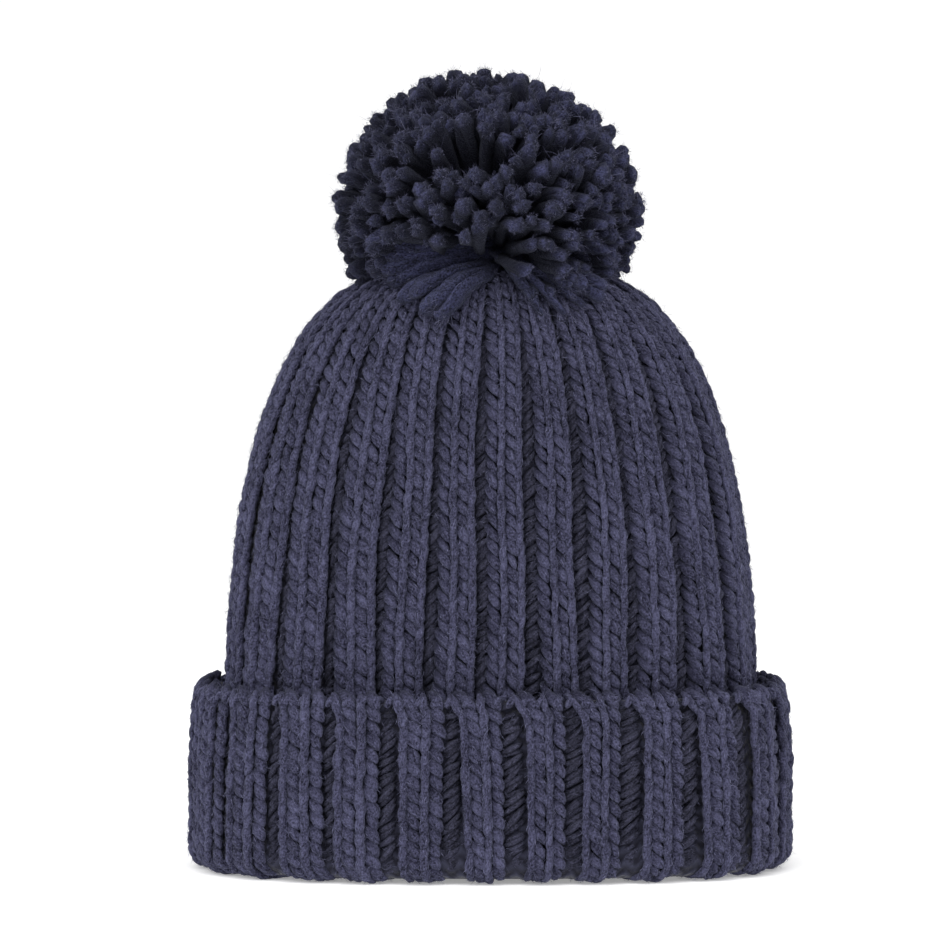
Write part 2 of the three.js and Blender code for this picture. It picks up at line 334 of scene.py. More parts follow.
hatShape = {
    "curveStart": 50 * mm, "crownHeight": 240 * mm, "sidePower": 2.4, "topPower": 3.3,
    "dimpleDepth": 8 * mm, "dimpleRadius": 24 * mm, "holeRadius": 9 * mm,
    "squareness": 2.6, "rounding": 1.5,
    "sideStart": 40 * mm, "stations": 400, "crowding": 0.8,  # the profile's lowest point, and those above
}
bodyHigh, cuffHigh, edgeHigh = (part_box(node)[1] for node in ("crown_knit", "turned_up_cuff", "cast_on_edge"))
halfWidth = bodyHigh.x
depthShare = bodyHigh.y / bodyHigh.x
cuffStandOff = cuffHigh.x - bodyHigh.x
gridStep = 1 * mm
roundSteps = 1040
ovalAngles = np.linspace(0.5, 2.5, 1441) * math.pi  # from the back by the left, front and right


def crownHeight(share):  # height of the body's surface where its half width is this share of the widest
    dome = (1 - share ** hatShape["topPower"]) ** (1 / hatShape["sidePower"])
    dimple = hatShape["dimpleDepth"] * np.exp(-((share * halfWidth / hatShape["dimpleRadius"]) ** 2))
    return hatShape["curveStart"] + (hatShape["crownHeight"] - hatShape["curveStart"]) * dome - dimple


def ovalDepth(bodyWidth):  # half depth of the hat's oval for a half width
    share = np.minimum(bodyWidth / halfWidth, 1)
    return bodyWidth * (depthShare + (1 - depthShare) * (1 - share) ** hatShape["rounding"])


def ovalPower(bodyWidth):
    return 2 + (hatShape["squareness"] - 2) * np.minimum(bodyWidth / halfWidth, 1)


def ovalRing(width, depth, power, steps):  # points round one oval, evenly spaced, and its length
    c, s = np.cos(ovalAngles), np.sin(ovalAngles)
    reach = (np.abs(c) ** power + np.abs(s) ** power) ** (-1 / power)
    x, y = width * c * reach, depth * s * reach
    along = np.concatenate([[0], np.cumsum(np.hypot(np.diff(x), np.diff(y)))])
    at = np.linspace(0, along[-1], steps + 1)
    return np.interp(at, along, x), np.interp(at, along, y), along[-1]


def makeSurface(bodyWidths, standOffs, heights):  # a grid of points and normals over stacked rings
    depths = ovalDepth(bodyWidths) + standOffs
    widths = bodyWidths + standOffs
    run = np.hypot(np.diff(widths + depths) / 2, np.diff(heights))
    along = np.concatenate([[0], np.cumsum(run)])
    at = np.arange(0, along[-1], gridStep)
    stations = [np.interp(at, along, v) for v in (widths, depths, heights, ovalPower(bodyWidths))]
    points = np.zeros((len(at), roundSteps + 1, 3))
    rounds = np.zeros(len(at))
    for i, (w, d, h, p) in enumerate(zip(*stations)):
        x, y, rounds[i] = ovalRing(w, d, p, roundSteps)
        points[i] = np.stack([x, y, np.full_like(x, h)], axis=1)
    aroundWay = np.gradient(points, axis=1)
    aroundWay[:, 0] = aroundWay[:, -1] = points[:, 1] - points[:, -2]
    upWay = np.gradient(points, axis=0)
    normals = np.cross(aroundWay, upWay)
    normals /= np.linalg.norm(normals, axis=2, keepdims=True)
    return {"points": points, "normals": normals, "rounds": rounds, "length": at[-1]}


def lookUp(grid, share, along):  # a value between the four grid points round a place
    column = (share % 1) * roundSteps
    row = np.clip(along / gridStep, 0, len(grid) - 1.001)
    c0, r0 = column.astype(int), row.astype(int)
    c1, r1 = np.minimum(c0 + 1, roundSteps), r0 + 1
    fc, fr = (column - c0)[..., None], (row - r0)[..., None]
    lower = grid[r0, c0] * (1 - fc) + grid[r0, c1] * fc
    upper = grid[r1, c0] * (1 - fc) + grid[r1, c1] * fc
    return lower * (1 - fr) + upper * fr


def onSurface(surface, share, along, lift):  # points this far round, along and out, and normals
    normal = lookUp(surface["normals"], share, along)
    normal /= np.linalg.norm(normal, axis=-1, keepdims=True)
    return lookUp(surface["points"], share, along) + normal * lift[..., None], normal


def roundAt(surface, along):
    return np.interp(along, np.arange(len(surface["rounds"])) * gridStep, surface["rounds"])


def bodySurface():
    hole = hatShape["holeRadius"] / halfWidth
    spacing = np.cos(np.linspace(0, math.pi / 2, hatShape["stations"])) ** hatShape["crowding"]
    shares = hole + (1 - hole) * spacing
    widths = np.concatenate([[halfWidth], shares * halfWidth])
    heights = np.concatenate([[hatShape["sideStart"]], crownHeight(shares)])
    return makeSurface(widths, np.zeros_like(widths), heights)


cuffShape = {
    "foldRadius": 8.5 * mm, "foldInside": 4 * mm, "foldPoints": 12, "yarnUnder": 0.8 * mm,
    "leans": (3.4 * mm, 1.3 * mm, 0),  # in towards the body
    "leanDrops": (0, 9 * mm, 34 * mm),  # below the rim, where it leans in by these
}


def cuffSurface():  # from the rim down the outside, round the fold and in under the body
    radius = cuffShape["foldRadius"]
    turn = np.linspace(0, math.pi / 2, cuffShape["foldPoints"])
    outs = np.concatenate([[cuffStandOff - lean for lean in cuffShape["leans"]],
                           cuffStandOff - radius + radius * np.cos(turn), [-cuffShape["foldInside"]]])
    lift = cuffShape["yarnUnder"]
    rim = [edgeHigh.z - drop for drop in cuffShape["leanDrops"]]
    heights = np.concatenate([rim, lift + radius - radius * np.sin(turn), [lift]])
    surface = makeSurface(np.full_like(outs, halfWidth), outs, heights)
    surface["normals"] *= -1  # this profile runs downwards
    return surface


body = bodySurface()
cuff = cuffSurface()

print("yarn tools")


def yarnTemplate(rings, sides):  # a straight unit yarn: rings of vertices with a cap at each end
    bm = bmesh.new()
    bmesh.ops.create_cone(bm, cap_ends=True, cap_tris=False, segments=sides, radius1=1, radius2=1, depth=1)
    for i in range(1, rings - 1):
        whole = bm.verts[:] + bm.edges[:] + bm.faces[:]
        bmesh.ops.bisect_plane(bm, geom=whole, plane_co=(0, 0, i / (rings - 1) - 0.5), plane_no=(0, 0, 1))
    bmesh.ops.recalc_face_normals(bm, faces=bm.faces[:])
    bm.verts.ensure_lookup_table()
    place = np.array([v.co for v in bm.verts])
    faces = [[v.index for v in f.verts] for f in bm.faces]
    bm.free()
    ring = np.rint((place[:, 2] + 0.5) * (rings - 1)).astype(int)
    turn = (np.arctan2(place[:, 1], place[:, 0]) / (2 * math.pi)) % 1
    loops, loopTurn, loopRing, sizes = [], [], [], []
    for face in faces:
        turns = turn[face]
        if len(face) == 4 and turns.max() - turns.min() > 0.5:
            turns = np.where(turns < 0.5, turns + 1, turns)
        loops += face
        loopTurn += list(turns)
        loopRing += list(ring[face])
        sizes.append(len(face))
    return {"ring": ring, "turn": turn, "loops": np.array(loops), "loopTurn": np.array(loopTurn),
            "loopRing": np.array(loopRing), "sizes": np.array(sizes), "rings": rings}


def meshFromArrays(name, points, loops, sizes, maps, marks, material):
    mesh = bpy.data.meshes.new(name)
    mesh.vertices.add(len(points))
    mesh.vertices.foreach_set("co", points.astype(np.float32).ravel())
    mesh.loops.add(len(loops))
    mesh.loops.foreach_set("vertex_index", loops.astype(np.int32))
    starts = np.concatenate([[0], np.cumsum(sizes)[:-1]])
    mesh.polygons.add(len(sizes))
    mesh.polygons.foreach_set("loop_start", starts.astype(np.int32))
    mesh.polygons.foreach_set("loop_total", sizes.astype(np.int32))
    mesh.polygons.foreach_set("use_smooth", np.ones(len(sizes), bool))
    for mapName, places in maps.items():
        layer = mesh.uv_layers.new(name=mapName)
        layer.data.foreach_set("uv", places.astype(np.float32).ravel())
    for markName, values in marks.items():
        mesh.attributes.new(markName, "FLOAT", "POINT").data.foreach_set("value", values.astype(np.float32))
    mesh.update()
    mesh.validate()
    mesh.materials.append(material)
    return added(name, mesh)


restHeight = 0.15 * mm  # yarn that touches the table is pressed flat on it
cellEdge = 0.06  # the share of a cell of the bake map that stays free at each side
turnsInCell = 1.25  # a cell holds once round the yarn, and the last face's corners past the start
mapShift = 3  # metres by which the yarns' maps start apart, so that no two look alike


def bakeCells(count, inX, inY):  # each yarn or fibre has its own cell of the bake map
    cells = math.ceil(math.sqrt(count))
    cell = np.arange(count)[:, None]
    return np.stack([(cell % cells + inX) / cells, (cell // cells + inY) / cells], axis=2).reshape(-1, 2)


# each yarn carries a painted shade mark, which darkens its colour
def layYarns(name, paths, radii, facing, material, deep, sides=8, flat=1.0, lumps=0.05, sideShade=0.22):
    count, rings = paths.shape[:2]  # one closed yarn along each path, flattened towards its facing direction
    template = yarnTemplate(rings, sides)
    way = np.gradient(paths, axis=1)
    way /= np.linalg.norm(way, axis=2, keepdims=True) + 1e-12
    out = facing - (facing * way).sum(2, keepdims=True) * way
    out /= np.linalg.norm(out, axis=2, keepdims=True) + 1e-12
    side = np.cross(way, out)
    ring, turn = template["ring"], (template["turn"] + 0.5) * 2 * math.pi  # a yarn's map meets itself behind
    phase = chance.random((count, 2)) * 2 * math.pi
    lump = 1 + lumps * np.sin(3 * turn[None] + ring[None] * 1.3 + phase[:, :1]) + lumps * np.sin(
        2 * turn[None] - ring[None] * 0.9 + phase[:, 1:])
    wide = radii[:, ring] * lump
    points = (paths[:, ring] + out[:, ring] * (wide * flat * np.cos(turn))[..., None]
              + side[:, ring] * (wide * np.sin(turn))[..., None])
    points[..., 2] = np.maximum(points[..., 2], restHeight)
    light = np.broadcast_to(deep, (count, rings))[:, ring]  # painted shade: darker far into the knitting, and on a yarn's sides away from its facing direction
    light = light * (1 - sideShade + sideShade * np.cos(turn))
    size = len(ring)
    loops = (template["loops"][None] + (np.arange(count) * size)[:, None]).ravel()
    sizes = np.tile(template["sizes"], count)
    run = np.linalg.norm(np.diff(paths, axis=1), axis=2).cumsum(1)
    run = np.concatenate([np.zeros((count, 1)), run], axis=1) + chance.random((count, 1)) * mapShift
    yarnPlaces = np.stack([run[:, template["loopRing"]], np.tile(template["loopTurn"], (count, 1))], axis=2)
    inX = cellEdge + (1 - 2 * cellEdge) * template["loopRing"] / (rings - 1)
    inY = cellEdge + (1 - 2 * cellEdge) * np.minimum(template["loopTurn"], turnsInCell) / turnsInCell
    marks = {"tone": np.repeat(chance.random(count), size), "deep": light.ravel()}
    maps = {yarnMap: yarnPlaces.reshape(-1, 2), bakeMap: bakeCells(count, inX, inY)}
    laid[name] = paths, radii, np.broadcast_to(facing, paths.shape)
    return meshFromArrays(name, points.reshape(-1, 3), loops, sizes, maps, marks, material)


laid = {}  # every yarn piece's paths, radii and facing directions, which its loose fibres start from
fibre = {
    "thickness": 0.075 * mm, "spread": 0.95, "alongYarn": (0.15, 0.95), "atTip": (0.84, 1.0), "sunk": 0.88,
    "across": 0.8, "bend": 0.3, "onward": 0.5, "tipOnward": 0.9, "toneCurve": 1.5,
}
spindles = {  # closed spindles with one bend or two: two ends, and rings of three points between them
    1: {"faces": [(0, 2, 1), (0, 3, 2), (0, 1, 3), (1, 2, 4), (2, 3, 4), (3, 1, 4)],
        "spots": [(0.1, 0.5), (0.5, 0.2), (0.5, 0.5), (0.5, 0.8), (0.9, 0.5)]},
    2: {"faces": [(0, 2, 1), (0, 3, 2), (0, 1, 3), (1, 2, 5, 4), (2, 3, 6, 5), (3, 1, 4, 6),
                  (4, 5, 7), (5, 6, 7), (6, 4, 7)],
        "spots": [(0.1, 0.5), (0.4, 0.2), (0.4, 0.5), (0.4, 0.8), (0.7, 0.2), (0.7, 0.5), (0.7, 0.8),
                  (0.9, 0.5)]},
}


def layFibres(name, source, count, length, rise, bends=1, tipShare=0.0, width=1.0):
    paths, radii, facing = laid[source]  # the fibres lie on the yarns of this piece, or lift off them
    rings = paths.shape[1]
    yarn = chance.integers(0, len(paths), count)
    at = chance.uniform(*fibre["alongYarn"], count)
    at = np.where(chance.random(count) < tipShare, chance.uniform(*fibre["atTip"], count), at)
    at = at * (rings - 1.001)
    low = at.astype(int)
    part = (at - low)[:, None]
    base = paths[yarn, low] * (1 - part) + paths[yarn, low + 1] * part
    radius = radii[yarn, low] * (1 - part[:, 0]) + radii[yarn, low + 1] * part[:, 0]
    way = paths[yarn, low + 1] - paths[yarn, low]
    way /= np.linalg.norm(way, axis=1, keepdims=True)
    out = facing[yarn, low]
    out = out - (out * way).sum(1, keepdims=True) * way
    out /= np.linalg.norm(out, axis=1, keepdims=True)
    side = np.cross(way, out)
    if tipShare:
        angle = chance.uniform(-math.pi, math.pi, (count, 1))
    else:
        angle = chance.normal(0, fibre["spread"], (count, 1))
    normal = out * np.cos(angle) + side * np.sin(angle)
    across = side * np.cos(angle) - out * np.sin(angle)
    forwards = chance.random(count) < (fibre["tipOnward"] if tipShare else fibre["onward"])
    onward = np.where(forwards, 1, -1)[:, None] * chance.uniform(0.4, 1, (count, 1))
    lift = np.abs(chance.normal(0, rise, (count, 1)))
    heading = way * onward + normal * lift + across * chance.normal(0, fibre["across"], (count, 1))
    heading /= np.linalg.norm(heading, axis=1, keepdims=True)
    reach = (length * chance.uniform(0.5, 1.5, count))[:, None]
    bend = chance.normal(0, fibre["bend"], (2, count, 3))
    ends = [base + normal * (radius * fibre["sunk"])[:, None]]
    step = reach / (bends + 1)
    for i in range(bends + 1):
        ends.append(ends[-1] + (heading + bend[0] * i + bend[1] * max(i - 1, 0)) * step)
    thick = fibre["thickness"] * width * chance.uniform(0.6, 1.4, (count, 1))
    third = np.cross(heading, across)
    ringWays = [across * math.cos(a) + third * math.sin(a) for a in (0, math.pi * 2 / 3, math.pi * 4 / 3)]
    between = [middle + ringWay * thick for middle in ends[1:-1] for ringWay in ringWays]
    points = np.stack([ends[0], *between, ends[-1]], axis=1)
    points[..., 2] = np.maximum(points[..., 2], restHeight)
    faces, spots = spindles[bends]["faces"], np.array(spindles[bends]["spots"])
    corner = np.array([k for face in faces for k in face])
    loops = (corner[None] + (np.arange(count) * len(spots))[:, None]).ravel()
    sizes = np.tile([len(face) for face in faces], count)
    maps = {bakeMap: bakeCells(count, spots[corner, 0], spots[corner, 1])}
    marks = {"tone": np.repeat(chance.random(count) ** fibre["toneCurve"], len(spots))}
    return meshFromArrays(name, points.reshape(-1, 3), loops, sizes, maps, marks, looseFibre)


def smoothNoise(a, b, seed):  # gentle noise from a few sines, about -1 to 1
    rng = np.random.default_rng(seed)
    total = 0
    for _ in range(5):
        p, q = rng.normal(0, 1, 2)
        total = total + np.sin(a * p + b * q + rng.random() * 2 * math.pi)
    return total / 2.6


print("stitches")

leg = {  # one side of a knitted loop, from its top to its foot, in millimetres for a rib of full width
    # fade and bowFade set the painted shade where a leg dives under the next and where it bows in at a rib's
    # sides
    "rings": 9, "sides": 7, "flat": 0.86, "proud": -0.6, "fade": 2.9, "bow": 1.5, "bowFade": 14,
    "smallest": 0.5, "largest": 1.12, "jitter": 0.22 * mm, "lean": 0.15, "uneven": 0.08,
    "curl": 0.6, "slim": 0.44, "endSwells": (0.85, 0.4),  # the last two rings shrink by these
    "fat": {"x": (-2.6, 1.9), "y": (4.4, -3.8), "dive": 3.7, "foot": 0.7, "radius": 2.25},
    "thin": {"x": (0.5, -0.4), "y": (5.2, -4.1), "dive": 1.3, "foot": 0.8, "radius": 1.72},
}
ribs = 26
rowHeight = 5.2 * mm
fullRib = 15.4 * mm


def legShape(kind):
    shape = leg[kind]
    t = np.linspace(0, 1, leg["rings"])
    ease = t * t * (3 - 2 * t)
    x = shape["x"][0] + (shape["x"][1] - shape["x"][0]) * (leg["curl"] * ease + (1 - leg["curl"]) * t)
    y = shape["y"][0] + (shape["y"][1] - shape["y"][0]) * t
    z = -shape["dive"] * (1 - t) ** 2 - shape["foot"] * t ** 4
    swell = leg["slim"] + (1 - leg["slim"]) * np.sin(math.pi * t ** 0.9)
    swell[-2:] *= leg["endSwells"]
    return x * mm, y * mm, z * mm, swell * shape["radius"] * mm


def layLegs(name, surface, share, along, columnPlace, pitch, kinds, upSign, flare):
    pieces = []  # share and along are the middle of a rib in a row, and columnPlace is across it
    for kind in ("fat", "thin"):
        rows = kinds == kind
        if not rows.any():
            continue
        x, y, z, swell = legShape(kind)
        rib, channel = ribWidth(pitch[rows], share[rows], along[rows])
        scale = np.clip(rib / fullRib, leg["smallest"], leg["largest"])
        jitter = chance.normal(0, leg["jitter"], (3, rows.sum()))
        lean = 1 + chance.normal(0, leg["lean"], (rows.sum(), 1))
        across = columnPlace[rows] * rib + jitter[0]
        alongPoint = along[rows, None] + upSign * (y[None] + jitter[1, :, None])
        xPoint = across[:, None] + x[None] * scale[:, None] * lean
        if flare is not None:
            xPoint = xPoint + flare(columnPlace[rows][:, None], alongPoint, channel[:, None])
        roundNow = roundAt(surface, alongPoint)
        relief = -leg["bow"] * mm * (2 * columnPlace[rows][:, None]) ** 2
        lift = z[None] + relief + jitter[2, :, None] - (leg[kind]["radius"] - 2.0 - leg["proud"]) * mm
        paths, normals = onSurface(surface, share[rows, None] + xPoint / roundNow, alongPoint, lift)
        radii = swell[None] * scale[:, None] * (1 + chance.normal(0, leg["uneven"], (rows.sum(), 1)))
        # painted shade: legs are darker where they dive under the next leg, and towards a rib's sides
        deep = np.clip(1 + z / (leg["fade"] * mm), 0.2, 1)[None] * (1 + relief / (leg["bowFade"] * mm))
        pieces.append((paths, radii, normals, deep))
    paths, radii, normals, deep = (np.concatenate(parts) for parts in zip(*pieces))
    return layYarns(name, paths, radii, normals, yarns["knitYarn"], deep, leg["sides"], leg["flat"])


channelShape = {  # a channel takes a share of the pitch past the closed one, and is looser in places
    "closed": 12.5 * mm, "share": 0.62, "widths": (0.9 * mm, 7.6 * mm), "swing": 0.35, "turned": 0.56,
    "noise": 0.2, "looseness": (0.5, 1.55),
}


def ribWidth(pitch, share, along):  # width of the raised rib and of the sunk channel beside it
    shape = channelShape
    rib = np.rint(share * ribs)
    swing = shape["swing"] * np.cos(4 * math.pi * (share - shape["turned"]))
    loose = 1 + swing + shape["noise"] * smoothNoise(rib * 1.7, along * 30, 7)
    channel = np.clip((pitch - shape["closed"]) * shape["share"], *shape["widths"])
    channel = channel * np.clip(loose, *shape["looseness"])
    return pitch - channel, channel


columns = {  # across a rib: fat and thin legs take turns, and the cuff shows the knitting upside down
    "body": [(-0.35, "fat"), (-0.115, "thin"), (0.14, "fat"), (0.375, "thin")],
    "cuff": [(-0.385, "thin"), (-0.14, "fat"), (0.105, "thin"), (0.35, "fat")],
}
thinLag = 0.45  # the share of a row by which a thin leg lies past the fat one
cuffLean = {"along": 11 * mm, "curve": 1.2, "from": 0.45, "most": 0.85, "amount": 1.1}
ribRows = {  # the rows start and stop this far from the ends, and the ribs stand aside and wander by these
    "body": {"first": 12 * mm, "left": 22 * mm, "aside": 6.5 * mm, "wander": 1.6 * mm, "seed": 3},
    "cuff": {"first": 3.5 * mm, "left": 4 * mm, "aside": 20.2 * mm, "wander": 1.2 * mm, "seed": 5},
}


def ribGrid(surface, first, left, aside, wander, seed):  # the middle of every rib in every row
    rows = np.arange(first, surface["length"] - left, rowHeight)
    rib, along = np.meshgrid(np.arange(ribs), rows, indexing="ij")
    rib, along = rib.ravel(), along.ravel()
    full = roundAt(surface, np.array([60 * mm]))[0]
    drift = wander * smoothNoise(rib * 2.1, along * 22, seed) / full
    share = 0.5 + aside / full + rib / ribs + drift
    return share, along, roundAt(surface, along) / ribs


def stitches(name, surface, grid, legs, sides, upSign, flare):  # the ribs' legs, in one piece for each side
    places, kinds = (np.tile(np.array(values), len(grid[0])) for values in zip(*legs))
    share, along, pitch = (np.repeat(values, len(legs)) for values in grid)
    offset = np.where(kinds == "thin", rowHeight * thinLag, 0)
    sector = np.floor(((share - 0.5) % 1) * len(sides)).astype(int)
    pieces = []
    for i, side in enumerate(sides):
        near = sector == i
        pieces.append(layLegs(name + side, surface, share[near], along[near] + offset[near], places[near],
                              pitch[near], kinds[near], upSign, flare))
    return pieces


def cuffFlare(place, along, channel):  # at the rim the left columns lean over the channel
    near = np.clip(1 - along / cuffLean["along"], 0, 1) ** cuffLean["curve"]
    return -channel * near * np.clip(cuffLean["from"] - place, 0, cuffLean["most"]) * cuffLean["amount"]


purl = {
    "rings": 6, "sides": 6, "radius": 1.3, "depth": 4.6, "slant": 2.9, "arch": 2.1, "foldLift": 3.0,
    "foldReach": 16 * mm, "narrowest": 2 * mm, "tucked": 0.3 * mm, "jitter": 0.6 * mm, "leaning": 0.3,
    # darkest, lighter and lightAt give the painted shade of loops in narrow channels
    "taper": 0.35, "uneven": 0.12, "lumps": 0.12, "darkest": 0.5, "lighter": 0.4, "lightAt": 7 * mm,
}


def purlStrokes(name, surface, grid, upSign):  # the loops at the bottom of a channel, leaning up to the right
    share, along, pitch = grid
    share, along, pitch = (np.repeat(v, 2) for v in (share, along, pitch))
    along = along + np.tile([0, rowHeight / 2], len(along) // 2)
    channel = ribWidth(pitch, share, along)[1]
    seen = channel > purl["narrowest"]
    share, along, pitch, channel = share[seen], along[seen], pitch[seen], channel[seen]
    t = np.linspace(-1, 1, purl["rings"])
    jitter = chance.normal(0, purl["jitter"], (2, len(share)))
    slant = purl["slant"] * mm * (1 + chance.normal(0, purl["leaning"], (len(share), 1)))
    alongPoint = along[:, None] + t[None] * slant * upSign + jitter[0, :, None]
    xPoint = pitch[:, None] / 2 + t[None] * (channel[:, None] / 2 + purl["tucked"])
    nearFold = np.clip(1 - (surface["length"] - alongPoint) / purl["foldReach"], 0, 1) if upSign < 0 else 0
    lift = (purl["foldLift"] * nearFold - purl["depth"] - purl["arch"] * t[None] ** 2) * mm
    lift = lift + jitter[1, :, None]
    roundNow = roundAt(surface, alongPoint)
    paths, normals = onSurface(surface, share[:, None] + xPoint / roundNow, alongPoint, lift)
    taper = purl["radius"] * mm * (1 - purl["taper"] * t[None] ** 2)
    radii = taper * (1 + chance.normal(0, purl["uneven"], (len(share), 1)))
    # painted shade: loops in narrow channels are painted darker
    light = purl["darkest"] + purl["lighter"] * np.clip(channel[:, None] / purl["lightAt"], 0, 1)
    deep = np.broadcast_to(light, alongPoint.shape)
    return layYarns(name, paths, radii, normals, yarns["purlYarn"], deep, purl["sides"], lumps=purl["lumps"])


bodySides, cuffSides = ("FrontRight", "BackRight", "BackLeft", "FrontLeft"), ("Right", "Left")
bodyGrid = ribGrid(body, **ribRows["body"])
cuffGrid = ribGrid(cuff, **ribRows["cuff"])
bodyPieces = stitches("bodyStitches", body, bodyGrid, columns["body"], bodySides, 1, None)
cuffPieces = stitches("cuffStitches", cuff, cuffGrid, columns["cuff"], cuffSides, -1, cuffFlare)
bodyPieces.append(purlStrokes("bodyPurlLoops", body, bodyGrid, 1))
cuffPieces.append(purlStrokes("cuffPurlLoops", cuff, cuffGrid, -1))

ribFuzz = {"length": 2.6 * mm, "rise": 0.16}
channelFuzz = {"length": 2.6 * mm, "rise": 0.35, "width": 0.8}
for side in bodySides:
    bodyPieces.append(layFibres("bodyFuzz" + side, "bodyStitches" + side, 13000, **ribFuzz))
for side in cuffSides:
    cuffPieces.append(layFibres("cuffFuzz" + side, "cuffStitches" + side, 12000, **ribFuzz))
bodyPieces.append(layFibres("bodyChannelFuzz", "bodyPurlLoops", 9000, **channelFuzz))
cuffPieces.append(layFibres("cuffChannelFuzz", "cuffPurlLoops", 4500, **channelFuzz))


def ridden(piece, bodyName, slotName, *nodes):
    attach(piece, bodyName)
    if nodes:
        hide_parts(*nodes)
    return piece


for piece in bodyPieces + cuffPieces:
    ridden(piece, "hat", "knit_yarn")

print("backing")


backing = {
    "steps": 208, "mapRadius": 80 * mm, "edgeMap": 2 * mm,
    "bodyDepth": 6.3 * mm, "bodyInner": 8.0 * mm, "bodyBottom": 9 * mm, "bodyRings": 46, "topShare": 0.12,
    "cuffDepth": 6.6 * mm, "cuffThick": 2.2 * mm, "belowRim": 4 * mm,
    "outside": [(0, 30), (1.2, 14), (2.8, 8), (2.2, 4.6), (-0.4, 2.2)],  # out from the outer wall, and height
    "bottom": [(0, 1.7), (-5, 1.7), (-5, 5), (0, 5)],  # out from the body, and height
    "inside": [(0, 6), (1.4, 9), (1, 14), (0, 30)],  # out from the inner wall, and height
}


def ringShell(name, section):  # a closed section of (body width, stand-off, height) swept round the hat
    steps = backing["steps"]
    widths, outs, heights = (np.array(v) for v in zip(*section))
    depths = ovalDepth(widths) + outs
    points = []
    for i in range(len(section)):
        x, y, _ = ovalRing(widths[i] + outs[i], depths[i], ovalPower(widths[i]), steps)
        points.append(np.stack([x[:-1], y[:-1], np.full(steps, heights[i])], axis=1))
    count = len(section)
    down = np.concatenate([[0], np.cumsum(np.hypot(np.diff(widths + outs), np.diff(heights)))])
    wide = 2 * math.pi * backing["mapRadius"] / steps
    loops, places = [], []
    for i in range(count):
        i2 = (i + 1) % count
        low = down[i]
        high = down[i2] if i2 else down[i] + backing["edgeMap"]
        for k in range(steps):
            k2 = (k + 1) % steps
            loops += [i * steps + k, i2 * steps + k, i2 * steps + k2, i * steps + k2]
            places += [(k * wide, low), (k * wide, high), ((k + 1) * wide, high), ((k + 1) * wide, low)]
    sizes = np.full(len(loops) // 4, 4)
    maps = {yarnMap: np.array(places)}
    return meshFromArrays(name, np.array(points).reshape(-1, 3), np.array(loops), sizes, maps, {}, knitInside)


def bodyBacking():
    depth, extra = backing["bodyDepth"], backing["bodyInner"] - backing["bodyDepth"]
    outer = [(halfWidth, -depth, backing["bodyBottom"])]
    for s in np.linspace(1, backing["topShare"], backing["bodyRings"]) ** 0.6:
        outer.append((s * halfWidth, -depth * (0.35 + 0.65 * s), crownHeight(s) - depth * (1 - s)))
    inner = []
    for width, out, height in outer:
        share = width / halfWidth
        inner.append((width, out - extra * (0.3 + 0.7 * share), height - extra * (1 - share)))
    return ringShell("bodyBacking", outer + inner[::-1])


def cuffBacking():  # down behind the cuff's ribs, round inside the fold and up again towards the body
    out = cuffStandOff - backing["cuffDepth"]
    inner = out - backing["cuffThick"]
    top = edgeHigh.z - backing["belowRim"]
    profile = [(out, top)]
    for start, corners in ((out, backing["outside"]), (0, backing["bottom"]), (inner, backing["inside"])):
        profile += [(start + aside * mm, height * mm) for aside, height in corners]
    profile.append((inner, top))
    return ringShell("cuffBacking", [(halfWidth, aside, height) for aside, height in profile])


bodyGround = ridden(bodyBacking(), "hat", "knit_yarn", "crown_knit")
cuffGround = ridden(cuffBacking(), "hat", "knit_yarn", "turned_up_cuff")

print("cast-on edge")

castOn = {
    "loops": 104, "rings": 9, "sides": 7, "radius": 1.5 * mm, "taper": 0.35, "light": 0.9,
    "drop": 2.6 * mm, "bend": 0.62, "lean": 2.6 * mm, "jitter": 0.3 * mm,
    "along": 2.5 * mm, "sunk": 3.6 * mm, "across": 3.0 * mm, "rise": 2.4 * mm,
}


def castOnLoops():  # a chain of loops over the rim of the cuff, each leaning on the next
    count, rings = castOn["loops"], castOn["rings"]
    t = np.linspace(-1, 1, rings)
    share = (np.arange(count) + 0.5) / count
    jitter = chance.normal(0, castOn["jitter"], (count, 1))
    shares = share[:, None] + (t[None] * castOn["lean"] + jitter) / roundAt(cuff, np.array([0.0]))[0]
    along, lift = np.full_like(shares, castOn["along"]), np.full_like(shares, -castOn["sunk"])
    base, normal = onSurface(cuff, shares, along, lift)
    turn = castOn["bend"] * math.pi * t[None, :, None]
    up = np.array([0, 0, 1.0])
    rise = castOn["rise"] * np.cos(turn) - castOn["drop"]
    paths = base - normal * castOn["across"] * np.sin(turn) + up * rise
    facing = up * np.cos(turn) - normal * np.sin(turn)
    radii = np.full(paths.shape[:2], castOn["radius"]) * (1 - castOn["taper"] * np.abs(t) ** 4)
    # painted shade: the cast-on loops are painted a little darker all over, by castOn light
    light = np.full((1, rings), castOn["light"])
    return layYarns("castOnLoops", paths, radii, facing, yarns["knitYarn"], light, castOn["sides"])


ridden(castOnLoops(), "hat", "knit_yarn", "cast_on_edge")

print("pom")

